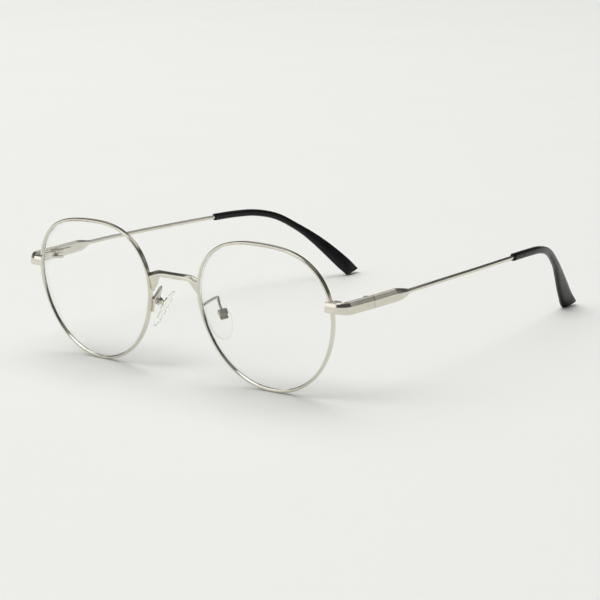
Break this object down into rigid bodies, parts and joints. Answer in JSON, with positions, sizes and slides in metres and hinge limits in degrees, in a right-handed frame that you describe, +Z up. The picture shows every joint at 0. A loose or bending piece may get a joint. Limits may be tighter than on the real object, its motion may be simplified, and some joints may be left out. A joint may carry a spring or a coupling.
{
  "type": "round wire eyeglasses",
  "caption": "Round wire eyeglasses, open: thin metal rims with clear lenses, sculpted bridge, rocking clear nose pads, faceted hinged temples with black tips.",
  "frame": {"origin": "on the table plane, midway between the front of the rims and the ends of the temple tips, in the plane of symmetry", "axes": "+X towards the wearer's left, +Y back along the temples, +Z up; standing on the lower rims and the temple tips"},
  "size_m": [0.1358, 0.162, 0.0469],
  "materials": {
    "frame_metal": "polished silver plating, slightly warm",
    "screws": "turned steel",
    "lens": "clear, coated",
    "temple_tip": "polished black acetate",
    "nose_pad": "clear soft plastic"
  },
  "bodies": {
    "front": {"rim_left": "frame_metal", "rim_right": "frame_metal", "lens_left": "lens", "lens_right": "lens", "bridge": "frame_metal", "end_piece_left": "frame_metal", "end_piece_right": "frame_metal", "closing_block_upper_left": "frame_metal", "closing_block_upper_right": "frame_metal", "closing_block_lower_left": "frame_metal", "closing_block_lower_right": "frame_metal", "rim_screw_left": "screws", "rim_screw_right": "screws", "hinge_front_left": "frame_metal", "hinge_front_right": "frame_metal", "pad_arm_left": "frame_metal", "pad_arm_right": "frame_metal", "pad_box_left": "frame_metal", "pad_box_right": "frame_metal", "pad_screw_left": "screws", "pad_screw_right": "screws", "hinge_screw_left": "screws", "hinge_screw_right": "screws"},
    "temple_left": {"temple_left": "frame_metal", "hinge_temple_left": "frame_metal", "temple_tip_left": "temple_tip"},
    "temple_right": {"temple_right": "frame_metal", "hinge_temple_right": "frame_metal", "temple_tip_right": "temple_tip"},
    "pad_left": {"nose_pad_left": "nose_pad", "pad_insert_left": "frame_metal"},
    "pad_right": {"nose_pad_right": "nose_pad", "pad_insert_right": "frame_metal"}
  },
  "joints": [
    {"name": "temple_fold_left", "type": "hinge", "parent": "front", "child": "temple_left", "pos_m": [0.06375, -0.06458, 0.02985], "axis": [0, 0, 1], "range_deg": [0, 89]},
    {"name": "temple_fold_right", "type": "hinge", "parent": "front", "child": "temple_right", "pos_m": [-0.06375, -0.06458, 0.02985], "axis": [0, 0, -1], "range_deg": [0, 84]},
    {"name": "pad_rock_left", "type": "hinge", "parent": "front", "child": "pad_left", "pos_m": [0.01403, -0.07116, 0.02132], "axis": [0.4937, 0.8565, 0.1504], "range_deg": [-8, 8]},
    {"name": "pad_rock_right", "type": "hinge", "parent": "front", "child": "pad_right", "pos_m": [-0.01403, -0.07116, 0.02132], "axis": [0.4937, -0.8565, -0.1504], "range_deg": [-8, 8]}
  ]
}
